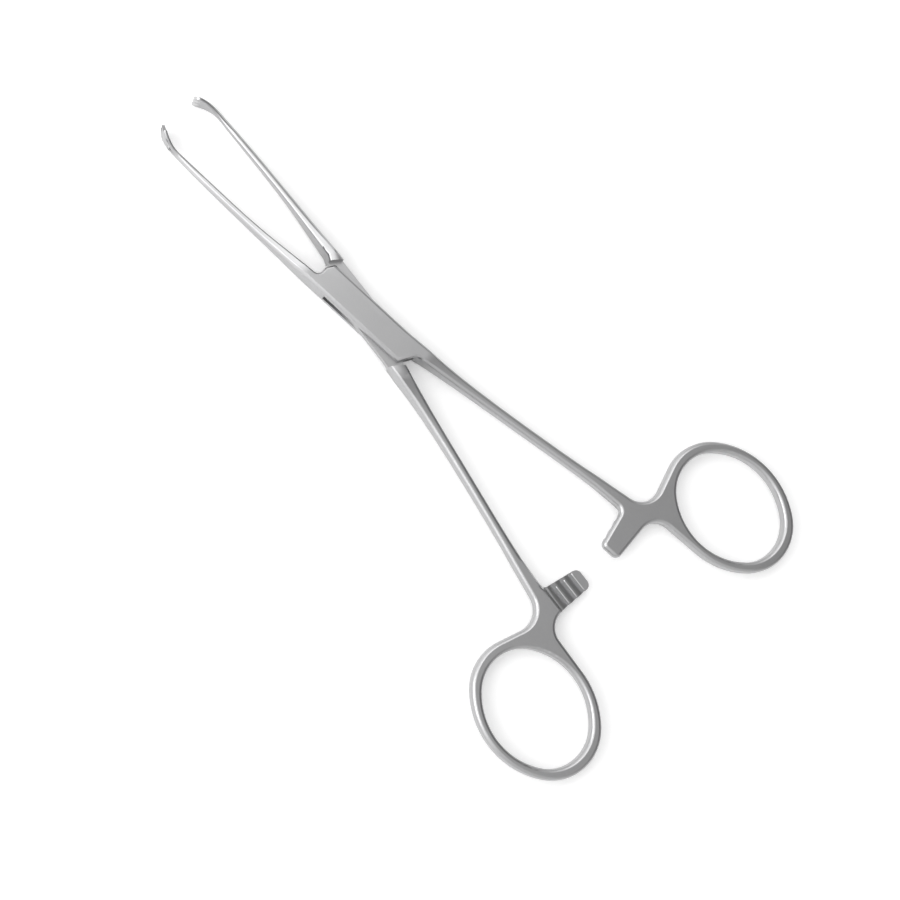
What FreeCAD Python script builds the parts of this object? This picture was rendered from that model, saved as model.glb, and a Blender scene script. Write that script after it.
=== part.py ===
import FreeCAD, Part
import os
import re
import Sketcher
from FreeCAD import Placement, Rotation, Vector

# Tissue forceps with a box joint, a ratchet and 2 x 3 in-turned teeth, in millimetres.
# The origin lies on the joint axis at the underside of the box, +Y runs to the tips, +Z up.
# Each half is drawn as it stands with the teeth meshed, on a sketch plane at mid thickness.
# Then it is turned about the joint by half the angle that the forceps lie open.
# Along the instrument a "reach" is a distance from the joint axis towards the tips,
# and a "drop" is one towards the finger rings. A "rise" is measured from the centre of the
# finger rings towards the joint. Across the instrument, a "middle" is the distance of a
# bar's centre line from the line between the halves.
SIZES = {
    "open_angle": 9.6,
    "box_thick": 5.2,
    "box_side": 3.15,
    "box_waist": 3.0,
    "box_front": 12.2,
    "box_front_corner": 11.1,
    "box_front_land": 1.2,
    "box_rear_corner": 11.0,
    "box_waist_drop": 9.0,
    "crotch_round": 1.3,
    "box_bevel": 0.5,
    "neck_thick": 1.8,
    "neck_play": 0.05,
    "neck_flank": 7.6,
    "neck_tip": 12.1,
    "shoulder_slope": 0.62,
    "shoulder_front": 11.3,
    "shoulder_gap": 0.2,
    "slot_reach": 7.4,
    "slot_skew": 33.8,
    "pin_radius": 1.2,
    "pin_head_radius": 1.65,
    "pin_head_depth": 0.5,
    "pin_play": 0.03,
    "jaw_root_reach": 14.0,
    "jaw_root_middle": 2.125,
    "jaw_root_width": 2.05,
    "jaw_taper_reach": 18.0,
    "jaw_taper_middle": 2.25,
    "jaw_taper_width": 1.9,
    "jaw_taper_thick": 4.3,
    "jaw_bow_reach": 24.0,
    "jaw_bow_middle": 2.38,
    "jaw_bow_width": 1.66,
    "jaw_bow_thick": 3.2,
    "jaw_mid_reach": 31.0,
    "jaw_mid_middle": 2.43,
    "jaw_mid_width": 1.5,
    "jaw_mid_thick": 2.45,
    "jaw_slim_reach": 40.0,
    "jaw_slim_middle": 2.27,
    "jaw_slim_width": 1.45,
    "jaw_slim_thick": 1.85,
    "jaw_neck_reach": 48.5,
    "jaw_neck_middle": 1.98,
    "jaw_neck_width": 1.15,
    "jaw_neck_thick": 1.5,
    "jaw_bevel": 0.28,
    "jaw_back_bevel": 0.62,
    "tip_reach": 54.8,
    "tip_turn": 48.0,
    "tip_width": 0.6,
    "tip_spread": 5.1,
    "tip_bevel": 0.12,
    "tooth_pitch": 1.75,
    "tooth_depth": 1.5,
    "tooth_overlap": 0.9,
    "shank_root_drop": 14.5,
    "shank_root_middle": 1.925,
    "shank_root_width": 2.75,
    "shank_neck_drop": 20.0,
    "shank_neck_middle": 2.45,
    "shank_neck_width": 2.28,
    "shank_neck_thick": 4.05,
    "shank_bow_drop": 30.0,
    "shank_bow_middle": 3.55,
    "shank_bow_width": 1.95,
    "shank_bow_thick": 3.25,
    "shank_slim_drop": 42.0,
    "shank_slim_middle": 5.05,
    "shank_slim_width": 1.88,
    "shank_slim_thick": 3.0,
    "shank_foot_rise": 24.9,
    "shank_foot_middle": 7.2,
    "shank_foot_width": 2.3,
    "shank_foot_thick": 3.0,
    "limb_bevel": 0.5,
    "ring_middle": 22.9,
    "ring_drop": 82.9,
    "ring_hole_width": 20.6,
    "ring_hole_length": 25.8,
    "ring_hole_end_radius": 8.7,
    "ring_side_wall": 1.9,
    "ring_end_wall": 2.5,
    "ring_end_radius": 10.4,
    "ring_hole_round": 0.8,
    "arm_end": 2.25,
    "arm_end_rise": 15.95,
    "arm_top_rise": 17.3,
    "arm_bottom_rise": 11.4,
    "arm_root": 6.4,
    "arm_corner_round": 1.3,
    "arm_crotch_round": 1.5,
    "arm_step": 5.8,
    "arm_step_run": 0.95,
    "arm_play": 0.05,
    "web_side": 10.3,
    "web_inner_round": 4.2,
    "web_outer_middle": 10.2,
    "web_outer_rise": 12.6,
    "web_outer_round": 4.6,
    "web_tangent": 2.5,
    "ratchet_teeth": 3,
    "ratchet_pitch": 2.13,
    "ratchet_depth": 0.6,
    "ratchet_first": -0.6,
    "ratchet_land": 0.6,
}

PLACES = {
    "shank_foot_drop": "ring_drop - shank_foot_rise",
    "arm_end_drop": "ring_drop - arm_end_rise",
    "arm_top_drop": "ring_drop - arm_top_rise",
    "arm_bottom_drop": "ring_drop - arm_bottom_rise",
    "web_outer_drop": "ring_drop - web_outer_rise",
}

SHEET = "Sizes"
NEAR = 1e-4
TIP_SHARES = (0.35, 0.7, 1.0)

doc = FreeCAD.newDocument("tissue_forceps")


def make_sheet():
    """Put every driving size, and the places that follow from them, in the spreadsheet."""
    sheet = doc.addObject("Spreadsheet::Sheet", SHEET)
    places = {name: f"={text}" for name, text in PLACES.items()}
    for row, (name, entry) in enumerate({**SIZES, **places}.items(), start=1):
        sheet.set(f"A{row}", name)
        sheet.set(f"B{row}", str(entry))
        sheet.setAlias(f"B{row}", name)
    doc.recompute()


def formula(text):
    """Turn size names into references to the spreadsheet."""
    return re.sub("[a-z_]+", lambda word: (
        f"{SHEET}.{word[0]}" if word[0] in {**SIZES, **PLACES} else word[0]), text)


def bind(thing, path, text):
    """Tie one property of an object to the spreadsheet."""
    thing.setExpression(path, formula(text))


def number(text):
    """Work out a formula's present value."""
    return float(doc.getObject(SHEET).evalExpression(formula(text)))


def mirrored(text, side):
    """Give a distance or an angle the sign that it has on one side."""
    return text if side > 0 else f"-1 * ( {text} )"


def new_sketch(body, name, role, shift=("0", "0", "0"), turn="0"):
    """Attach a sketch to one of the body's own planes.

    The shift is given along the sketch's own axes, with the one out of its plane last.
    The turn is in degrees about the direction of the joint axis.
    """
    sketch = body.newObject("Sketcher::SketchObject", name)
    plane = next(item for item in body.Origin.OriginFeatures if item.Role == role)
    sketch.AttachmentSupport = (plane, "")
    sketch.MapMode = "FlatFace"
    axis = Vector(0, 0, 1) if role == "XY_Plane" else Vector(0, 1, 0)
    start = Vector(*[number(text) for text in shift])
    sketch.AttachmentOffset = Placement(start, Rotation(axis, number(turn)))
    for letter, text in zip("xyz", shift):
        if text != "0":
            bind(sketch, f"AttachmentOffset.Base.{letter}", text)
    if turn != "0":
        bind(sketch, "AttachmentOffset.Rotation.Angle", f"( {turn} ) * 1 deg")
    return sketch


def add_dimension(sketch, label, kind, places, text):
    """Add a named dimension that follows the spreadsheet."""
    mark = sketch.addConstraint(Sketcher.Constraint(kind, *places, number(text)))
    sketch.renameConstraint(mark, label)
    bind(sketch, f"Constraints.{label}", text)


def draw_outline(sketch, corners):
    """Draw a closed outline whose corners, and the rounds on them, follow the spreadsheet.

    Each corner is (x, y) or (x, y, round), all as formulas.
    """
    points = [Vector(number(corner[0]), number(corner[1]), 0) for corner in corners]
    count = len(points)
    for index, point in enumerate(points):
        sketch.addGeometry(Part.LineSegment(point, points[(index + 1) % count]), False)
    for index in range(count):
        sketch.addConstraint(Sketcher.Constraint("Coincident", index, 2, (index + 1) % count, 1))
    for index, corner in enumerate(corners):
        add_dimension(sketch, f"across_{index}", "DistanceX", (-1, 1, index, 1), corner[0])
        add_dimension(sketch, f"along_{index}", "DistanceY", (-1, 1, index, 1), corner[1])
    for index, corner in enumerate(corners):
        if len(corner) == 3:
            round_corner(sketch, points, index, corner[2])


def round_corner(sketch, points, index, radius):
    """Round one corner of an outline and keep the corner's dimensions."""
    here = points[index]
    before = points[index - 1]
    after = points[(index + 1) % len(points)]
    arc = sketch.GeometryCount
    sketch.fillet((index - 1) % len(points), index, here + (before - here) * 0.3,
                  here + (after - here) * 0.3, number(radius), True, True)
    add_dimension(sketch, f"round_{index}", "Radius", (arc,), radius)


def draw_bar(sketch, centre, width, thick, bevels):
    """Draw an upright rectangle about a point of the sketch's x axis.

    Its corners are bevelled, with one size for the left ones and one for the right ones.
    """
    left_bevel, right_bevel = bevels
    left = f"( {centre} ) - ( {width} ) / 2"
    right = f"( {centre} ) + ( {width} ) / 2"
    low = f"-1 * ( {thick} ) / 2"
    high = f"( {thick} ) / 2"
    draw_outline(sketch, [
        (f"{left} + {left_bevel}", low), (f"{right} - {right_bevel}", low),
        (right, f"{low} + {right_bevel}"), (right, f"{high} - {right_bevel}"),
        (f"{right} - {right_bevel}", high), (f"{left} + {left_bevel}", high),
        (left, f"{high} - {left_bevel}"), (left, f"{low} + {left_bevel}")])


def draw_oval(sketch, middle, drop, width, length, end_radius):
    """Draw an oval of four arcs that stands along the instrument.

    The arcs touch where the line through their centres meets them, so they join smoothly.
    """
    side = f"( {width} ) / 2"
    end = f"( {length} ) / 2"
    side_radius = (f"( ( {side} ) ^ 2 + ( {end} ) ^ 2 - {length} * {end_radius} ) / "
                   f"( {width} - 2 * {end_radius} )")
    stretch = f"{side_radius} / ( {side_radius} - {end_radius} )"
    across = f"( {end_radius} / ( {side_radius} - {end_radius} ) * ( {side_radius} - {side} ) )"
    along = f"( ( {end} - {end_radius} ) * {stretch} )"
    corners = [(f"{middle} + {across}", f"{along} - {drop}"),
               (f"{middle} - {across}", f"{along} - {drop}"),
               (f"{middle} - {across}", f"-1 * {along} - {drop}"),
               (f"{middle} + {across}", f"-1 * {along} - {drop}")]
    bulges = [Vector(number(middle), number(f"{end} - {drop}"), 0),
              Vector(number(f"{middle} - {side}"), -number(drop), 0),
              Vector(number(middle), -number(f"{end} + {drop}"), 0),
              Vector(number(f"{middle} + {side}"), -number(drop), 0)]
    points = [Vector(number(corner[0]), number(corner[1]), 0) for corner in corners]
    for index in range(4):
        sketch.addGeometry(Part.Arc(points[index], bulges[index], points[(index + 1) % 4]), False)
    for index in range(4):
        sketch.addConstraint(Sketcher.Constraint("Coincident", index, 2, (index + 1) % 4, 1))
    for index, corner in enumerate(corners):
        add_dimension(sketch, f"across_{index}", "DistanceX", (-1, 1, index, 1), corner[0])
        add_dimension(sketch, f"along_{index}", "DistanceY", (-1, 1, index, 1), corner[1])
        add_dimension(sketch, f"radius_{index}", "Radius", (index,),
                      side_radius if index % 2 else end_radius)


def pad(body, sketch, name, length):
    """Thicken a sketch evenly to both sides of its plane."""
    feature = body.newObject("PartDesign::Pad", name)
    feature.Profile = sketch
    feature.SideType = "Symmetric"
    bind(feature, "Length", length)
    doc.recompute()


def pocket(body, sketch, name, length, symmetric=True, upwards=False):
    """Cut a sketch's outline out of the body, and make sure that it cuts."""
    before = body.Shape.Volume
    feature = body.newObject("PartDesign::Pocket", name)
    feature.Profile = sketch
    if symmetric:
        feature.SideType = "Symmetric"
    feature.Reversed = upwards
    bind(feature, "Length", length)
    doc.recompute()
    if body.Shape.Volume > before - NEAR:
        raise RuntimeError(f"{name} of {body.Name} cuts nothing")
    return feature


def loft(body, sections, name):
    """Run a smooth skin through a row of sections."""
    feature = body.newObject("PartDesign::AdditiveLoft", name)
    feature.Profile = sections[0]
    feature.Sections = sections[1:]
    doc.recompute()


def break_edges(body, kind, name, size, chosen):
    """Round or bevel those edges of the body's last feature that a test picks out."""
    base = body.Tip
    edges = [f"Edge{index + 1}" for index, edge in enumerate(base.Shape.Edges) if chosen(edge)]
    feature = body.newObject(f"PartDesign::{kind}", name)
    feature.Base = (base, edges)
    bind(feature, "Radius" if kind == "Fillet" else "Size", size)
    doc.recompute()


def lies_level(edge, height):
    """Tell whether an edge lies flat at a height above or below mid thickness."""
    box = edge.BoundBox
    return box.ZLength < NEAR and abs(abs(box.ZMax) - height) < NEAR


def lies_across(edge, reach):
    """Tell whether an edge lies in the plane across the instrument at a reach."""
    box = edge.BoundBox
    return box.YLength < NEAR and abs(box.YMax - reach) < NEAR


def lies_in_oval(edge, middle):
    """Tell whether an edge lies in the finger ring's opening or at its rim."""
    across = number("ring_hole_width / 2") + NEAR
    along = number("ring_hole_length / 2") + NEAR
    drop = number("ring_drop")
    return all(abs(point.x - middle) < across and abs(point.y + drop) < along
               for point in edge.discretize(5))


def bevel_box(body):
    """Bevel the long edges of the box, but not where the jaw and the shank carry on."""
    height = number("box_thick / 2")
    ends = (number("jaw_root_reach"), number("-1 * shank_root_drop"))
    break_edges(body, "Chamfer", "box_edges", "box_bevel", lambda edge: (
        lies_level(edge, height) and not any(lies_across(edge, end) for end in ends)))


def add_web(body, side):
    """Make the web that joins the shank to its ring, with the blank of the ratchet arm."""
    half_width = "( ring_hole_width / 2 + ring_side_wall )"
    half_length = "( ring_hole_length / 2 + ring_end_wall )"
    end_centre_drop = f"ring_drop - ( {half_length} - ring_end_radius )"
    tangent_drop = f"{end_centre_drop} - sqrt( ring_end_radius ^ 2 - web_tangent ^ 2 )"
    corners = [
        ("shank_foot_middle - shank_foot_width / 2", "-1 * shank_foot_drop"),
        ("arm_root", "-1 * arm_top_drop", "arm_crotch_round"),
        ("-1 * arm_end", "-1 * arm_end_drop", "arm_corner_round"),
        ("-1 * arm_end", "-1 * arm_bottom_drop", "arm_corner_round"),
        ("web_side", "-1 * arm_bottom_drop", "web_inner_round"),
        (f"ring_middle - {half_width}", "-1 * ring_drop"),
        ("ring_middle", "-1 * ring_drop"),
        ("ring_middle - web_tangent", f"-1 * ( {tangent_drop} )"),
        ("web_outer_middle", "-1 * web_outer_drop", "web_outer_round"),
        ("shank_foot_middle + shank_foot_width / 2", "-1 * shank_foot_drop"),
    ]
    web = new_sketch(body, "web_outline", "XY_Plane")
    draw_outline(web, [(mirrored(corner[0], side), *corner[1:]) for corner in corners])
    pad(body, web, "web", "shank_foot_thick")


def add_ring(body, side):
    """Make the finger ring on the web, with a bevelled rim and a rounded opening."""
    middle = mirrored("ring_middle", side)
    rim = new_sketch(body, "ring_outline", "XY_Plane")
    draw_oval(rim, middle, "ring_drop", "( ring_hole_width + 2 * ring_side_wall )",
              "( ring_hole_length + 2 * ring_end_wall )", "ring_end_radius")
    pad(body, rim, "ring", "shank_foot_thick")
    height = number("shank_foot_thick / 2")
    foot = number("-1 * shank_foot_drop")
    break_edges(body, "Chamfer", "ring_edges", "limb_bevel", lambda edge: (
        lies_level(edge, height) and edge.BoundBox.YMax < foot + NEAR
        and not lies_across(edge, foot)))
    hole = new_sketch(body, "ring_hole_outline", "XY_Plane")
    draw_oval(hole, middle, "ring_drop", "ring_hole_width", "ring_hole_length",
              "ring_hole_end_radius")
    pocket(body, hole, "ring_hole", "2 * shank_foot_thick")
    break_edges(body, "Fillet", "ring_hole_edges", "ring_hole_round", lambda edge: (
        lies_level(edge, height) and lies_in_oval(edge, number(middle))))


def cut_ratchet(body, side):
    """Thin the ratchet arm to its own layer and cut its saw teeth.

    The arm on the +X shank lies in the upper layer with its teeth below,
    and the other arm lies under it with its teeth above.
    """
    middle = "( arm_top_drop + arm_bottom_drop ) / 2"
    run = "2 * ( arm_bottom_drop - arm_top_drop )"

    def place(across, up):
        return mirrored(across, side), mirrored(up, side)

    layer = new_sketch(body, "arm_layer_outline", "XZ_Plane", shift=("0", "0", middle))
    draw_outline(layer, [
        place("arm_step + arm_step_run", "-1 * shank_foot_thick"),
        place("arm_step + arm_step_run", "-1 * shank_foot_thick / 2"),
        place("arm_step", "arm_play"),
        place("-2 * arm_end", "arm_play"),
        place("-2 * arm_end", "-1 * shank_foot_thick")])
    pocket(body, layer, "arm_layer", run)
    space = new_sketch(body, "tooth_space_outline", "XZ_Plane", shift=("0", "0", middle))
    draw_outline(space, [
        place("ratchet_first", "arm_play"),
        place("ratchet_first + ratchet_land / 2", "arm_play + ratchet_depth"),
        place("ratchet_first + ratchet_pitch - ratchet_land", "arm_play"),
        place("ratchet_first + ratchet_pitch / 2", "arm_play - ratchet_land")])
    first = pocket(body, space, "tooth_space", run)
    row = body.newObject("PartDesign::LinearPattern", "ratchet")
    row.Originals = [first]
    row.Direction = (space, ["H_Axis"])
    row.Reversed = side < 0
    bind(row, "Occurrences", "ratchet_teeth")
    bind(row, "Length", "ratchet_pitch * ( ratchet_teeth - 1 )")
    body.Tip = row
    doc.recompute()


def bar_section(body, station, side, drop, thick, inner_bevel, outer_bevel):
    """Draw the section of a jaw or shank at one of its stations."""
    sketch = new_sketch(body, f"{station}_section", "XZ_Plane", shift=("0", "0", drop))
    bevels = (inner_bevel, outer_bevel)[::side]
    draw_bar(sketch, mirrored(f"{station}_middle", side), f"{station}_width", thick, bevels)
    return sketch


def add_shank(body, side):
    """Loft the slim shank from the web up to the box."""
    sections = [bar_section(body, station, side, f"{station}_drop", f"{station}_thick",
                            "limb_bevel", "limb_bevel")
                for station in ("shank_foot", "shank_slim", "shank_bow", "shank_neck")]
    sections.append(bar_section(body, "shank_root", side, "shank_root_drop", "box_thick",
                                "box_bevel", "box_bevel"))
    loft(body, sections, "shank")


def add_jaw(body, side):
    """Loft the slim jaw with its rounded back, and the tip, which turns in and spreads."""
    sections = [bar_section(body, "jaw_root", side, "-1 * jaw_root_reach", "box_thick",
                            "box_bevel", "box_bevel")]
    sections += [bar_section(body, station, side, f"-1 * {station}_reach", f"{station}_thick",
                             "jaw_bevel", "jaw_back_bevel")
                 for station in ("jaw_taper", "jaw_bow", "jaw_mid", "jaw_slim", "jaw_neck")]
    loft(body, sections, "jaw")
    loft(body, [sections[-1]] + [tip_section(body, side, share) for share in TIP_SHARES], "tip")


def tip_section(body, side, share):
    """Draw the tip's section at a share of the arc from the jaw's neck to the teeth."""
    angle = f"tip_turn * {share}"
    along = f"sin( {angle} * 1 deg ) / sin( tip_turn * 1 deg )"
    across = f"( 1 - cos( {angle} * 1 deg ) ) / ( 1 - cos( tip_turn * 1 deg ) )"
    reach = f"jaw_neck_reach + ( tip_reach - jaw_neck_reach ) * {along}"
    middle = f"jaw_neck_middle - ( jaw_neck_middle + tooth_overlap / 2 ) * {across}"
    width = f"( jaw_neck_width + ( tip_width - jaw_neck_width ) * {share} )"
    flare = share * share * (3 - 2 * share)
    spread = f"jaw_neck_thick + ( tip_spread - jaw_neck_thick ) * {flare:.3f}"
    bevels = [f"( {size} + ( tip_bevel - {size} ) * {share} )"
              for size in ("jaw_bevel", "jaw_back_bevel")][::side]
    sketch = new_sketch(body, f"tip_section_{round(share * 100)}", "XZ_Plane",
                        shift=(mirrored(middle, side), "0", f"-1 * ( {reach} )"),
                        turn=mirrored(angle, side))
    draw_bar(sketch, "0", width, spread, bevels)
    return sketch


def cut_teeth(body, side, tips):
    """Cut a row of pointed teeth into the end of the tip, evenly about mid thickness."""
    sketch = new_sketch(body, "teeth_outline", "YZ_Plane",
                        shift=("tip_reach", "0", mirrored("tooth_overlap / -2", side)),
                        turn=mirrored("tip_turn", side))
    corners = [("tooth_depth", "-1 * tip_spread"), ("-1 * tooth_depth", "-1 * tip_spread")]
    for index in range(tips):
        middle = f"tooth_pitch * {index - (tips - 1) / 2}"
        corners.append(("-1 * tooth_depth", f"{middle} - tooth_pitch / 2"))
        corners.append(("0", middle))
    corners.append(("-1 * tooth_depth", f"tooth_pitch * {tips / 2}"))
    corners.append(("-1 * tooth_depth", "tip_spread"))
    corners.append(("tooth_depth", "tip_spread"))
    draw_outline(sketch, corners)
    pocket(body, sketch, "teeth", "3 * tooth_depth")


def draw_bore(sketch, play):
    """Draw half the section of the pin, or of its seat, beside the joint axis."""
    head = f"pin_head_radius + {play}"
    shaft = f"pin_radius + {play}"
    draw_outline(sketch, [
        ("0", "-1 * box_thick / 2"),
        (head, "-1 * box_thick / 2"),
        (shaft, "pin_head_depth - box_thick / 2"),
        (shaft, "box_thick / 2 - pin_head_depth"),
        (head, "box_thick / 2"),
        ("0", "box_thick / 2")])


def turn_profile(body, kind, name, sketch):
    """Turn a profile fully about the joint axis."""
    feature = body.newObject(kind, name)
    feature.Profile = sketch
    feature.ReferenceAxis = (sketch, ["V_Axis"])
    feature.Angle = 360
    doc.recompute()


def new_body(name, side):
    """Start a body that stands turned about the joint by its share of the opening."""
    body = doc.addObject("PartDesign::Body", name)
    body.Label = name
    share = mirrored("open_angle / 2", side)
    body.Placement = Placement(Vector(0, 0, number("box_thick / 2")),
                               Rotation(Vector(0, 0, 1), number(share)))
    bind(body, "Placement.Base.z", "box_thick / 2")
    bind(body, "Placement.Rotation.Angle", f"{share} * 1 deg")
    return body


def rear_edge(across, gap):
    """Give the slanted rear edge of the cheeks, or of the shoulder a gap behind it."""
    return f"-1 * ( box_rear_corner + {gap} + ( {across} + box_side ) * shoulder_slope )"


def make_box_half():
    """Make the half whose box encloses the other: left jaw, box and right shank."""
    side = 1
    body = new_body("box_half", side)
    box = new_sketch(body, "box_outline", "XY_Plane")
    shank_inner = "shank_root_middle - shank_root_width / 2"
    shank_outer = "shank_root_middle + shank_root_width / 2"
    jaw_inner = "-1 * ( jaw_root_middle - jaw_root_width / 2 )"
    draw_outline(box, [
        ("-1 * box_side", "-1 * box_rear_corner"),
        ("-1 * box_side", "jaw_root_reach"),
        (jaw_inner, "jaw_root_reach"),
        (jaw_inner, "box_front", "crotch_round"),
        ("box_front_land", "box_front"),
        ("box_waist", "box_front_corner"),
        ("box_waist", "-1 * box_waist_drop"),
        (shank_outer, "-1 * shank_root_drop"),
        (shank_inner, "-1 * shank_root_drop"),
        (f"( {shank_inner} ) / 2", rear_edge(f"( {shank_inner} ) / 2", "0"))])
    pad(body, box, "box", "box_thick")
    bevel_box(body)
    add_limbs(body, side)
    slot = new_sketch(body, "slot_outline", "XY_Plane", turn="-1 * slot_skew")
    draw_outline(slot, [
        ("-1 * slot_reach", "-2 * slot_reach"),
        ("slot_reach", "-2 * slot_reach"),
        ("slot_reach", "2 * slot_reach"),
        ("-1 * slot_reach", "2 * slot_reach")])
    pocket(body, slot, "slot", "neck_thick + 2 * neck_play")
    seat = new_sketch(body, "pin_seat_outline", "XZ_Plane")
    draw_bore(seat, "0")
    turn_profile(body, "PartDesign::Groove", "pin_seat", seat)
    cut_teeth(body, -side, 2)
    return body


def make_inner_half():
    """Make the half that passes through the box: right jaw, neck and left shank."""
    side = -1
    body = new_body("inner_half", side)
    blank = new_sketch(body, "blank_outline", "XY_Plane")
    shank_inner = "shank_root_middle - shank_root_width / 2"
    shank_outer = "shank_root_middle + shank_root_width / 2"
    jaw_inner = "jaw_root_middle - jaw_root_width / 2"
    draw_outline(blank, [
        (f"-1 * ( {shank_outer} )", "-1 * shank_root_drop"),
        (f"-1 * ( {shank_inner} )", "-1 * shank_root_drop"),
        (f"( {shank_inner} ) / -2", f"-1 * ( neck_tip + {shank_inner} )"),
        ("0", "-1 * neck_tip"),
        ("box_waist", "-1 * neck_flank"),
        ("box_side", "0"),
        ("box_side", "jaw_root_reach"),
        (jaw_inner, "jaw_root_reach"),
        (f"( {jaw_inner} ) / 2", f"neck_tip + ( {jaw_inner} ) / 2"),
        ("0", "neck_tip"),
        ("-1 * box_waist", "neck_flank"),
        ("-1 * box_waist", "-1 * box_waist_drop")])
    pad(body, blank, "blank", "box_thick")
    bevel_box(body)
    add_limbs(body, side)
    front = "( shoulder_front + 3 * box_side * shoulder_slope )"
    for name, level in (("upper", 1), ("lower", -1)):
        flat = mirrored("neck_thick / 2", level)
        recess = new_sketch(body, f"{name}_recess_outline", "XY_Plane", shift=("0", "0", flat))
        draw_outline(recess, [
            ("-2 * box_side", rear_edge("-2 * box_side", "shoulder_gap")),
            ("2 * box_side", rear_edge("2 * box_side", "shoulder_gap")),
            ("2 * box_side", f"{front} - 4 * box_side * shoulder_slope"),
            ("-2 * box_side", front)])
        pocket(body, recess, f"{name}_recess", "box_thick", symmetric=False, upwards=level > 0)
    bore = new_sketch(body, "pin_bore_outline", "XZ_Plane")
    draw_bore(bore, "pin_play")
    turn_profile(body, "PartDesign::Groove", "pin_bore", bore)
    cut_teeth(body, -side, 3)
    return body


def add_limbs(body, side):
    """Add what both halves have alike: web, ring, ratchet arm, shank and jaw."""
    add_web(body, side)
    add_ring(body, side)
    cut_ratchet(body, side)
    add_shank(body, side)
    add_jaw(body, -side)


def make_joint_pin():
    """Turn the pin that is riveted flush into both cheeks of the box."""
    body = new_body("joint_pin", 1)
    profile = new_sketch(body, "pin_outline", "XZ_Plane")
    draw_bore(profile, "0")
    turn_profile(body, "PartDesign::Revolution", "pin", profile)
    return body


def check_states():
    """Stop if any feature failed."""
    for thing in doc.Objects:
        if {"Invalid", "Error"} & set(thing.State):
            raise RuntimeError(f"{thing.Name} failed: {thing.State}")


def export(bodies):
    """Check each body's solid and write it to its own file."""
    os.makedirs("parts", exist_ok=True)
    for body in bodies:
        shape = body.Shape
        if shape.isNull() or not shape.isValid() or len(shape.Solids) != 1:
            raise RuntimeError(f"{body.Label} is not one sound solid")
        shape.exportStep(f"parts/{body.Label}.step")


make_sheet()
parts = [make_box_half(), make_inner_half(), make_joint_pin()]
check_states()
export(parts)
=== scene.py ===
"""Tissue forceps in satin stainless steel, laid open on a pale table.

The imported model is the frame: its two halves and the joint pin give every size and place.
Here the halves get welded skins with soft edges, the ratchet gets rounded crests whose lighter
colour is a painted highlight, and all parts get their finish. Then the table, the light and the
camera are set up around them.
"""
from math import pi, radians

import bmesh
import bpy
from mathutils import Euler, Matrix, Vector


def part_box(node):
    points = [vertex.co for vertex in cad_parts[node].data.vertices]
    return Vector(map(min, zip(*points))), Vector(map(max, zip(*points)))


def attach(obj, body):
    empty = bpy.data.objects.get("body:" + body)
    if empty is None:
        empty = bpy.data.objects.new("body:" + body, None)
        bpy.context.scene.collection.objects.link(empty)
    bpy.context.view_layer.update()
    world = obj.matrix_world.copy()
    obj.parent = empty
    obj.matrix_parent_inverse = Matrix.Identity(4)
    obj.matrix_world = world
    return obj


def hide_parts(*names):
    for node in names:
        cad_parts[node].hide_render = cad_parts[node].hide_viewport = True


bl_info = {
    "name": "Tissue forceps",
    "version": (1, 0, 0),
    "blender": (4, 5, 0),
    "location": "3D View > Sidebar > Forceps",
    "description": "Finishes the halves, crests and pin of tissue forceps and sets the stage",
    "category": "Add Mesh",
}

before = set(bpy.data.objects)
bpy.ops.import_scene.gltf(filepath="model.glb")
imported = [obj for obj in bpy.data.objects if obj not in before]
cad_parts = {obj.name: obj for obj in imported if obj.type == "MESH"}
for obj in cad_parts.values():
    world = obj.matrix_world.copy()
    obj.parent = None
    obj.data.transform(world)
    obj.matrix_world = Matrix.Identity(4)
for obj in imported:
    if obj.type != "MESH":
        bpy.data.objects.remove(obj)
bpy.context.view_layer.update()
MM = 0.001
HALVES = {"box_half": "box_side", "inner_half": "inner_side"}

# Faces that meet at less than this are joined into one.
FLAT = radians(0.2)
# The edges beside a bevel turn by about 45 degrees, and only they are rounded.
BEVEL_TURN = (radians(38), radians(52))
# Edges nearer to the joint's axis than this belong to the pin's seat.
SEAT_REACH = 2.5 * MM
# The jaws and shanks leave the box between these distances from the joint's axis.
ROOT_START = 11 * MM
ROOT_END = 15 * MM
# Edges at the roots that are shorter than this, or rise more steeply, stay sharp.
ROOT_LENGTH = 3 * MM
ROOT_RISE = 0.9
# The roots' last stretch is left sharp, so that the rounding starts from nothing.
SHARP_STRETCH = 1 * MM
# Edges that rise less than this lie in a plane, beside a bevel of even width.
LEVEL_RISE = 0.002
# A face of at least so many corners is pinched where it is narrower than this share of a
# soft edge. Only corners beside this stretch of the edge's length are looked at.
PINCHED_CORNERS = 5
PINCHED_SHARE = 0.3
BESIDE_EDGE = (0.02, 0.98)

# Where each steel's grain starts, so that no two parts carry the same marks.
GRAIN_STARTS = {"box_half_steel": 0.0, "inner_half_steel": 3.7, "crest_steel": 5.3,
                "pin_steel": 9.1}
# Marks and clouds per metre. The marks are drawn out along the instrument.
MARK_SCALE = (5200, 1600, 5200)
CLOUD_SCALE = 160.0
MARK_HEIGHT = 0.01 * MM

# The sockets of a colour mix, whose names are not unique.
MIX_FACTOR, MIX_FIRST, MIX_SECOND, MIX_RESULT = 0, 6, 7, 2
WHITE = (1, 1, 1, 1)

# How far the table reaches, and how far it lies below the forceps.
TABLE_REACH = 3.0
TABLE_GAP = 0.02 * MM
# Between which directions the room's light changes, to the right and to the back.
WINDOW_TO_WALL = (-0.5, 0.8)
FRONT_TO_BACK = (-0.2, 0.3)
# For each lamp its place, the point it faces, its two sizes and the setting of its power.
LAMPS = {"over_jaws": ((0.19, 0.23, 0.6), (0.19, 0.2, 0), (0.5, 0.22), "lamp"),
         "at_window": ((-0.45, 0.3, 0.45), (0, 0, 0), (0.5, 0.5), "side")}
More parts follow.
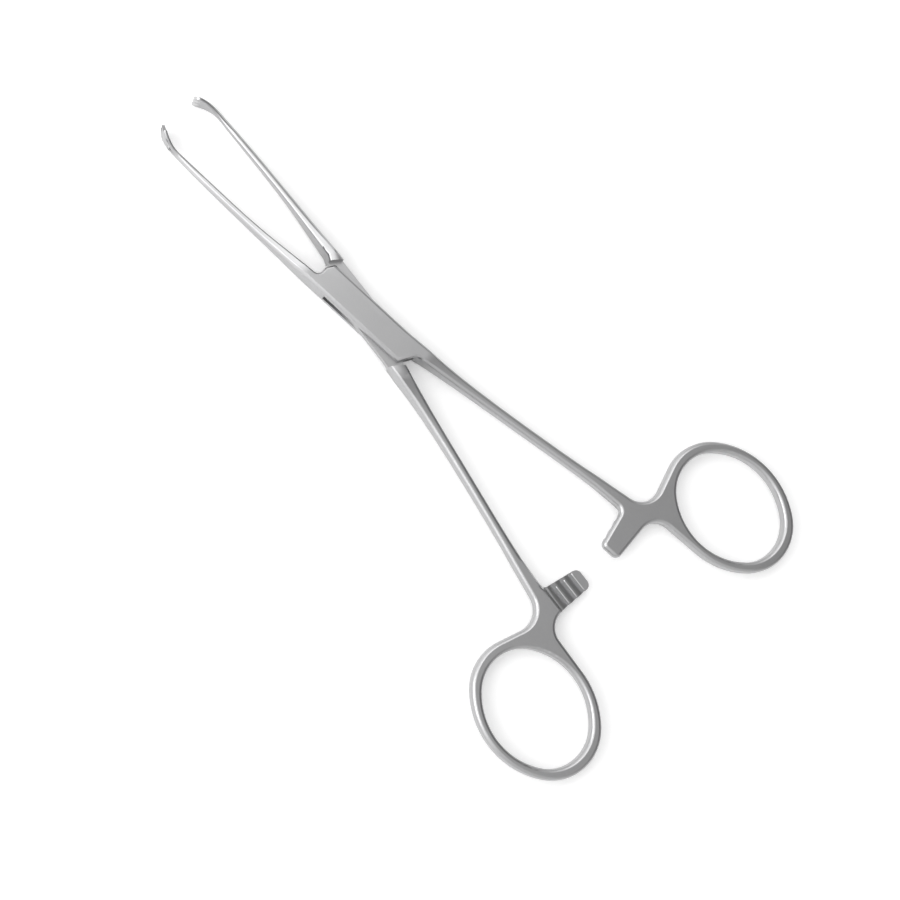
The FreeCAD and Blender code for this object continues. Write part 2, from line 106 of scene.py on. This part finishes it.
# Where the photo was taken from.
CAMERA_PLACE = Vector((-120.976, -1.716, 387.836)) * MM
CAMERA_TURN = Euler([radians(turn) for turn in (8.479, -14.926, -44.592)])


class Wire:
    """An output socket that takes part in Python expressions."""

    def __init__(self, bench, socket):
        self.bench = bench
        self.socket = socket

    def beside(self, output):
        """Another output of the same node."""
        return Wire(self.bench, self.socket.node.outputs[output])

    def _maths(self, operation, first, second):
        return self.bench.node("ShaderNodeMath", {"operation": operation}, {0: first, 1: second})

    def __add__(self, other):
        return self._maths("ADD", self, other)

    def __radd__(self, other):
        return self._maths("ADD", other, self)

    def __sub__(self, other):
        return self._maths("SUBTRACT", self, other)

    def __mul__(self, other):
        return self._maths("MULTIPLY", self, other)


class Bench:
    """Places nodes in a tree and wires them up."""

    def __init__(self, tree):
        self.tree = tree

    def node(self, kind, settings=None, sockets=None, output=0):
        """Add a node: its settings go first, then the values or wires of its sockets."""
        node = self.tree.nodes.new(kind)
        for name, value in (settings or {}).items():
            setattr(node, name, value)
        for name, value in (sockets or {}).items():
            if isinstance(value, Wire):
                self.tree.links.new(value.socket, node.inputs[name])
            else:
                node.inputs[name].default_value = value
        return Wire(self, node.outputs[output]) if node.outputs else None


class ForcepsSteel(bpy.types.PropertyGroup):
    """Colour and finish of the stainless steel."""

    colour: bpy.props.FloatVectorProperty(
        name="Steel colour", description="Colour of the satin faces", subtype="COLOR",
        size=3, min=0, max=1, default=(0.53, 0.53, 0.535))
    roughness: bpy.props.FloatProperty(
        name="Roughness", description="Mean roughness of the satin finish",
        default=0.32, min=0.05, max=1, subtype="FACTOR")
    # The crests' colour is lighter than the steel's as a painted highlight on the rounded crests;
    # their roughness is a real finish.
    crest_highlight_colour: bpy.props.FloatVectorProperty(
        name="Crest colour", description="Colour of the burnished crests", subtype="COLOR",
        size=3, min=0, max=1, default=(0.75, 0.75, 0.755))
    crest_roughness: bpy.props.FloatProperty(
        name="Crest roughness", description="Mean roughness of the burnished crests",
        default=0.3, min=0, max=1, subtype="FACTOR")
    grain: bpy.props.FloatProperty(
        name="Grain", description="How much the polishing marks change the roughness",
        default=0.03, min=0, max=0.5, subtype="FACTOR")
    mark: bpy.props.FloatProperty(
        name="Mark", description="How much the polishing marks change the colour",
        default=0.05, min=0, max=0.5, subtype="FACTOR")
    relief: bpy.props.FloatProperty(
        name="Relief", description="How much the polishing marks tilt the face",
        default=0.09, min=0, max=1, subtype="FACTOR")
    cloud: bpy.props.FloatProperty(
        name="Cloud", description="How much the colour drifts over the faces",
        default=0.04, min=0, max=0.5, subtype="FACTOR")


class ForcepsSkin(bpy.types.PropertyGroup):
    """How the welded skins of the halves are softened."""

    weld: bpy.props.FloatProperty(
        name="Weld distance", description="Corners closer than this are joined",
        default=0.05 * MM, min=0, unit="LENGTH", precision=6)
    soften: bpy.props.FloatProperty(
        name="Soft edge", description="How wide each edge of the bevels is rounded",
        default=0.32 * MM, min=0, unit="LENGTH", precision=6)
    fade: bpy.props.FloatProperty(
        name="Fade", description="How far beyond the roots the rounding grows to full width",
        default=6 * MM, min=0, unit="LENGTH", precision=6)
    share: bpy.props.FloatProperty(
        name="Strip share", description="Share of a slanting bevel that one rounding takes",
        default=0.36, min=0, max=0.5, subtype="FACTOR")
    seam: bpy.props.FloatProperty(
        name="Seam angle", description="Faces that meet at less than this are one strip",
        default=radians(3), min=0, max=pi, subtype="ANGLE")
    crease: bpy.props.FloatProperty(
        name="Crease angle", description="Edges sharper than this stay sharp",
        default=radians(50), min=0, max=pi, subtype="ANGLE")


class ForcepsCrests(bpy.types.PropertyGroup):
    """The rounded crests of the ratchet's teeth, which carry a painted highlight."""

    count: bpy.props.IntProperty(
        name="Crests", description="How many crests each ratchet arm has",
        default=3, min=1)
    first: bpy.props.FloatProperty(
        name="First crest", description="How far beyond the middle line the first crest lies",
        default=0.6 * MM, min=0, unit="LENGTH", precision=6)
    pitch: bpy.props.FloatProperty(
        name="Pitch", description="Distance from crest to crest",
        default=2.13 * MM, min=0, unit="LENGTH", precision=6)
    drop: bpy.props.FloatProperty(
        name="Arm drop", description="How far the arm's middle lies from the joint",
        default=69.1 * MM, min=0, unit="LENGTH", precision=6)
    length: bpy.props.FloatProperty(
        name="Length", description="Length of a crest across the arm",
        default=4.3 * MM, min=0, unit="LENGTH", precision=6)
    radius: bpy.props.FloatProperty(
        name="Radius", description="Radius of the rounded crest",
        default=0.16 * MM, min=0, unit="LENGTH", precision=6)
    depth: bpy.props.FloatProperty(
        name="Depth", description="How far a crest's axis lies from the plane between the arms",
        default=0.19 * MM, min=0, unit="LENGTH", precision=6)
    turn: bpy.props.FloatProperty(
        name="Turn", description="How far each half lies open at rest",
        default=radians(4.8), min=0, max=pi, subtype="ANGLE")


class ForcepsStage(bpy.types.PropertyGroup):
    """The table, the room's light and the camera."""

    table: bpy.props.FloatVectorProperty(
        name="Table colour", description="Colour of the table as the camera sees it",
        subtype="COLOR", size=3, min=0, max=1, default=(0.96, 0.96, 0.96))
    shade: bpy.props.FloatVectorProperty(
        name="Table in the steel", description="Colour of the table as the steel reflects it",
        subtype="COLOR", size=3, min=0, max=1, default=(1.0, 1.0, 1.0))
    lift: bpy.props.FloatProperty(
        name="Table glow", description="How much brighter the camera sees the table",
        default=0.24, min=0, max=1, subtype="FACTOR")
    window: bpy.props.FloatProperty(
        name="Window side", description="Brightness of the room at the left",
        default=1.6, min=0, max=10)
    wall: bpy.props.FloatProperty(
        name="Wall side", description="Brightness of the room at the right",
        default=0.34, min=0, max=10)
    front: bpy.props.FloatProperty(
        name="Front share", description="Factor of the light on the side of the finger rings",
        default=0.46, min=0, max=10)
    back: bpy.props.FloatProperty(
        name="Back share", description="Factor of the light on the side of the jaws",
        default=1.75, min=0, max=10)
    limit: bpy.props.FloatProperty(
        name="Brightest", description="The room is nowhere brighter than this",
        default=1.2, min=0, max=10)
    lamp: bpy.props.FloatProperty(
        name="Overhead light", description="Power of the soft lamp over the jaws",
        default=0.4, min=0, unit="POWER")
    side: bpy.props.FloatProperty(
        name="Window light", description="Power of the soft lamp at the window side",
        default=1.5, min=0, unit="POWER")
    lens: bpy.props.FloatProperty(
        name="Lens", description="Focal length of the camera in millimetres",
        default=80.0, min=10, unit="CAMERA")


def shared(name):
    """The scene's settings under a name."""
    return getattr(bpy.context.scene, name)


def cleared_bench(block):
    """Clear the nodes of a material or a world and make a bench for new ones."""
    block.use_nodes = True
    block.node_tree.nodes.clear()
    return Bench(block.node_tree)


def new_object(name, data):
    """Put an object with some data in the scene."""
    thing = bpy.data.objects.new(name, data)
    bpy.context.scene.collection.objects.link(thing)
    return thing


def satin_steel(name, crest=False):
    """Satin stainless steel: fine marks along the instrument and a faint drift of grey."""
    steel = shared("forceps_steel")
    # On the crests the lighter tint is a painted highlight.
    tint = steel.crest_highlight_colour if crest else steel.colour
    blur = steel.crest_roughness if crest else steel.roughness
    material = bpy.data.materials.new(name)
    bench = cleared_bench(material)
    place = bench.node("ShaderNodeTexCoord", output="Object")
    along = bench.node("ShaderNodeMapping", {}, {
        "Vector": place, "Location": (GRAIN_STARTS[name], 0, 0), "Scale": MARK_SCALE})
    marks = bench.node("ShaderNodeTexNoise", {}, {
        "Vector": along, "Scale": 1.0, "Detail": 3.0, "Roughness": 0.6})
    drift = bench.node("ShaderNodeTexNoise", {}, {
        "Vector": place, "Scale": CLOUD_SCALE, "Detail": 2.0})
    shade = 1 + (drift - 0.5) * (2 * steel.cloud) + (marks - 0.5) * (2 * steel.mark)
    grey = bench.node("ShaderNodeCombineColor", {}, {"Red": shade, "Green": shade, "Blue": shade})
    colour = bench.node("ShaderNodeMix", {"data_type": "RGBA", "blend_type": "MULTIPLY"}, {
        MIX_FACTOR: 1.0, MIX_FIRST: (*tint, 1.0), MIX_SECOND: grey}, output=MIX_RESULT)
    roughness = blur + (marks - 0.5) * (2 * steel.grain)
    bump = bench.node("ShaderNodeBump", {}, {
        "Strength": steel.relief, "Distance": MARK_HEIGHT, "Height": marks})
    shader = bench.node("ShaderNodeBsdfPrincipled", {}, {
        "Base Color": colour, "Metallic": 1.0, "Roughness": roughness, "Normal": bump})
    bench.node("ShaderNodeOutputMaterial", {}, {"Surface": shader})
    return material


def pinched(edge, face, least):
    """Tell whether a many-cornered face is too narrow beside an edge for a rounding."""
    if len(face.verts) < PINCHED_CORNERS:
        return False
    start = edge.verts[0].co
    way = edge.verts[1].co - start
    for vert in face.verts:
        gap = vert.co - start
        share = gap.dot(way) / way.length_squared
        beside = BESIDE_EDGE[0] < share < BESIDE_EDGE[1]
        if beside and gap.cross(way).length < least * way.length:
            return True
    return False


def strip_width(start, way, face, skin):
    """Measure a strip from a line at its edge, across the seams where it is all but flat."""
    strip = {face}
    for seam in face.edges:
        if seam.calc_face_angle(pi) < skin.seam:
            strip.update(seam.link_faces)

    def reach(parts):
        return max((vert.co - start).cross(way).length for part in parts for vert in part.verts)

    return min(reach(strip), 2 * reach([face]))


def softness(edge, skin):
    """Tell how far an edge beside a bevel can be rounded, as a share of the full width."""
    turn = edge.calc_face_angle(0)
    middle = (edge.verts[0].co + edge.verts[1].co) / 2
    if not BEVEL_TURN[0] < turn < BEVEL_TURN[1] or middle.xy.length < SEAT_REACH:
        return 0
    if any(pinched(edge, face, PINCHED_SHARE * skin.soften) for face in edge.link_faces):
        return 0
    start = edge.verts[0].co
    way = (edge.verts[1].co - start).normalized()
    at_root = ROOT_START < abs(middle.y) < ROOT_END
    if at_root and (edge.calc_length() < ROOT_LENGTH or abs(way.z) > ROOT_RISE):
        return 0
    beyond = abs(middle.y) - ROOT_END
    fade = max(0, min(1, beyond / skin.fade)) if beyond > -SHARP_STRETCH else 1
    if abs(way.z) < LEVEL_RISE:
        return fade
    room = min(strip_width(start, way, face, skin) for face in edge.link_faces)
    return min(1, skin.share * room / skin.soften) * fade


def welded_copy(node, name):
    """Copy a CAD node's mesh as one welded skin and mark the edges to be rounded."""
    skin = shared("forceps_skin")
    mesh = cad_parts[node].data.copy()
    mesh.name = name
    form = bmesh.new()
    form.from_mesh(mesh)
    bmesh.ops.remove_doubles(form, verts=form.verts, dist=skin.weld)
    bmesh.ops.dissolve_limit(form, verts=form.verts, edges=form.edges, angle_limit=FLAT)
    for face in form.faces:
        face.smooth = True
    weights = form.edges.layers.float.new("bevel_weight_edge")
    for edge in form.edges:
        edge.smooth = edge.calc_face_angle(pi) < skin.crease
        edge[weights] = softness(edge, skin)
    form.to_mesh(mesh)
    form.free()
    mesh.materials.clear()
    return mesh


class FORCEPS_OT_halves(bpy.types.Operator):
    """Give the two halves their welded, softened skins"""

    bl_idname = "forceps.halves"
    bl_label = "Halves"

    def execute(self, context):
        for node, body in HALVES.items():
            piece = new_object(f"{node}_skin", welded_copy(node, f"{node}_skin"))
            piece.data.materials.append(satin_steel(f"{node}_steel"))
            rounds = piece.modifiers.new("Soft edges", "BEVEL")
            rounds.width = shared("forceps_skin").soften
            rounds.segments = 3
            rounds.limit_method = "WEIGHT"
            rounds.use_clamp_overlap = False
            weights = piece.modifiers.new("Even faces", "WEIGHTED_NORMAL")
            weights.mode = "FACE_AREA"
            weights.weight = 50
            weights.keep_sharp = True
            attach(piece, body)
            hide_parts(node)
        return {"FINISHED"}


class FORCEPS_OT_pin(bpy.types.Operator):
    """Finish the joint pin, which is ground flush with the cheeks"""

    bl_idname = "forceps.pin"
    bl_label = "Joint pin"

    def execute(self, context):
        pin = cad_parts["joint_pin"]
        for slot in pin.material_slots:
            slot.material = satin_steel("pin_steel")
        return {"FINISHED"}


def crest_row():
    """Make the node tree that lays a row of round crests across a ratchet arm."""
    tree = bpy.data.node_groups.new("crest_row", "GeometryNodeTree")
    for name, kind in (("Count", "Int"), ("Start", "Vector"), ("Step", "Vector"),
                       ("Length", "Float"), ("Radius", "Float"), ("Turn", "Vector"),
                       ("Steel", "Material")):
        tree.interface.new_socket(name, in_out="INPUT", socket_type=f"NodeSocket{kind}")
    tree.interface.new_socket("Crests", in_out="OUTPUT", socket_type="NodeSocketGeometry")
    bench = Bench(tree)
    given = bench.node("NodeGroupInput")
    places = bench.node("GeometryNodeMeshLine", {"mode": "OFFSET"}, {
        "Count": given.beside("Count"), "Start Location": given.beside("Start"),
        "Offset": given.beside("Step")})
    rod = bench.node("GeometryNodeMeshCylinder", {}, {
        "Vertices": 16, "Side Segments": 12, "Radius": given.beside("Radius"),
        "Depth": given.beside("Length")})
    laid = bench.node("GeometryNodeTransform", {}, {
        "Geometry": rod, "Rotation": (pi / 2, 0, 0)})
    row = bench.node("GeometryNodeInstanceOnPoints", {}, {"Points": places, "Instance": laid})
    turned = bench.node("GeometryNodeTransform", {}, {
        "Geometry": row, "Rotation": given.beside("Turn")})
    plain = bench.node("GeometryNodeRealizeInstances", {}, {"Geometry": turned})
    smooth = bench.node("GeometryNodeSetShadeSmooth", {}, {"Geometry": plain})
    steel = bench.node("GeometryNodeSetMaterial", {}, {
        "Geometry": smooth, "Material": given.beside("Steel")})
    bench.node("NodeGroupOutput", {}, {"Crests": steel})
    return tree


class FORCEPS_OT_crests(bpy.types.Operator):
    """Round the crests of both ratchet arms and give them a painted highlight"""

    bl_idname = "forceps.crests"
    bl_label = "Ratchet crests"

    def execute(self, context):
        sizes = shared("forceps_crests")
        tree = crest_row()
        # The crests' steel is lighter than the rest, a painted highlight.
        steel = satin_steel("crest_steel", crest=True)
        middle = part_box("joint_pin")[1][2] / 2
        for body, side in (("box_side", 1), ("inner_side", -1)):
            piece = new_object(f"{body}_crests", bpy.data.meshes.new(f"{body}_crests"))
            row = piece.modifiers.new("Crest row", "NODES")
            row.node_group = tree
            start = (-side * sizes.first, -sizes.drop, middle + side * sizes.depth)
            values = {"Count": sizes.count, "Start": start,
                      "Step": (side * sizes.pitch, 0, 0), "Length": sizes.length,
                      "Radius": sizes.radius, "Turn": (0, 0, side * sizes.turn), "Steel": steel}
            for socket in tree.interface.items_tree:
                if socket.in_out == "INPUT":
                    row[socket.identifier] = values[socket.name]
            graph = context.evaluated_depsgraph_get()
            mesh = bpy.data.meshes.new_from_object(piece.evaluated_get(graph))
            piece.modifiers.clear()
            piece.data = mesh
            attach(piece, body)
        return {"FINISHED"}


def lay_table(stage):
    """Lay a wide pale table under the forceps, which the camera sees a little brighter."""
    mesh = bpy.data.meshes.new("table_top")
    reach = TABLE_REACH
    mesh.from_pydata([(-reach, -reach, 0), (reach, -reach, 0), (reach, reach, 0),
                      (-reach, reach, 0)], [], [(0, 1, 2, 3)])
    table = new_object("table_top", mesh)
    table.location.z = -TABLE_GAP
    material = bpy.data.materials.new("table_paint")
    bench = cleared_bench(material)
    seen = bench.node("ShaderNodeLightPath", output="Is Camera Ray")
    colour = bench.node("ShaderNodeMix", {"data_type": "RGBA"}, {
        MIX_FACTOR: seen, MIX_FIRST: (*stage.shade, 1.0), MIX_SECOND: (*stage.table, 1.0)},
        output=MIX_RESULT)
    paint = bench.node("ShaderNodeBsdfDiffuse", {}, {"Color": colour})
    lift = bench.node("ShaderNodeEmission", {}, {"Color": WHITE, "Strength": seen * stage.lift})
    both = bench.node("ShaderNodeAddShader", {}, {0: paint, 1: lift})
    bench.node("ShaderNodeOutputMaterial", {}, {"Surface": both})
    mesh.materials.append(material)


def light_room(stage):
    """Shade the room from its window side to its dim wall, and brighter beyond the jaws."""
    world = bpy.data.worlds.new("room")
    bench = cleared_bench(world)
    way = bench.node("ShaderNodeTexCoord", output="Generated")
    parts = bench.node("ShaderNodeSeparateXYZ", {}, {"Vector": way})

    def ramp(part, limits, levels):
        return bench.node("ShaderNodeMapRange", {"interpolation_type": "SMOOTHSTEP"}, {
            "Value": part, "From Min": limits[0], "From Max": limits[1],
            "To Min": levels[0], "To Max": levels[1]})

    across = ramp(parts.beside("X"), WINDOW_TO_WALL, (stage.window, stage.wall))
    along = ramp(parts.beside("Y"), FRONT_TO_BACK, (stage.front, stage.back))
    light = bench.node("ShaderNodeMath", {"operation": "MINIMUM"}, {
        0: across * along, 1: stage.limit})
    glow = bench.node("ShaderNodeBackground", {}, {"Color": WHITE, "Strength": light})
    bench.node("ShaderNodeOutputWorld", {}, {"Surface": glow})
    bpy.context.scene.world = world


def hang_lamps(stage):
    """Hang the large soft lamps, each facing its point."""
    for name, (place, target, size, power) in LAMPS.items():
        light = bpy.data.lights.new(name, "AREA")
        light.shape = "RECTANGLE"
        light.size, light.size_y = size
        light.energy = getattr(stage, power)
        lamp = new_object(name, light)
        lamp.location = place
        way = Vector(target) - Vector(place)
        lamp.rotation_euler = way.to_track_quat("-Z", "Y").to_euler()


def place_camera(stage):
    """Place the camera where the photo was taken from."""
    lens = bpy.data.cameras.new("photo_camera")
    lens.lens = stage.lens
    lens.sensor_width = 36.0
    lens.clip_start = 0.01
    camera = new_object("photo_camera", lens)
    camera.location = CAMERA_PLACE
    camera.rotation_euler = CAMERA_TURN
    bpy.context.scene.camera = camera


class FORCEPS_OT_stage(bpy.types.Operator):
    """Lay the table, light the room, hang the lamps and place the camera"""

    bl_idname = "forceps.stage"
    bl_label = "Stage"

    def execute(self, context):
        stage = shared("forceps_stage")
        for step in (lay_table, light_room, hang_lamps, place_camera):
            step(stage)
        context.scene.view_settings.view_transform = "Standard"
        return {"FINISHED"}


class FORCEPS_PT_panel(bpy.types.Panel):
    """Sizes, finish and stage of the forceps"""

    bl_idname = "FORCEPS_PT_panel"
    bl_label = "Tissue forceps"
    bl_space_type = "VIEW_3D"
    bl_region_type = "UI"
    bl_category = "Forceps"

    def draw(self, context):
        for group in GROUPS:
            box = self.layout.box()
            for name in GROUPS[group].__annotations__:
                box.prop(getattr(context.scene, group), name)
        for operator in OPERATORS:
            self.layout.operator(operator.bl_idname)


GROUPS = {"forceps_steel": ForcepsSteel, "forceps_skin": ForcepsSkin,
          "forceps_crests": ForcepsCrests, "forceps_stage": ForcepsStage}
OPERATORS = (FORCEPS_OT_halves, FORCEPS_OT_crests, FORCEPS_OT_pin, FORCEPS_OT_stage)
CLASSES = (*GROUPS.values(), *OPERATORS, FORCEPS_PT_panel)


def register():
    """Register the classes and give the scene its settings."""
    for cls in CLASSES:
        bpy.utils.register_class(cls)
    for name, group in GROUPS.items():
        setattr(bpy.types.Scene, name, bpy.props.PointerProperty(type=group))


def unregister():
    """Take the settings and the classes away again."""
    for name in GROUPS:
        delattr(bpy.types.Scene, name)
    for cls in reversed(CLASSES):
        bpy.utils.unregister_class(cls)


def main():
    """Build every piece and the stage."""
    register()
    for operator in OPERATORS:
        group, name = operator.bl_idname.split(".")
        getattr(getattr(bpy.ops, group), name)()


if __name__ == "__main__":
    main()
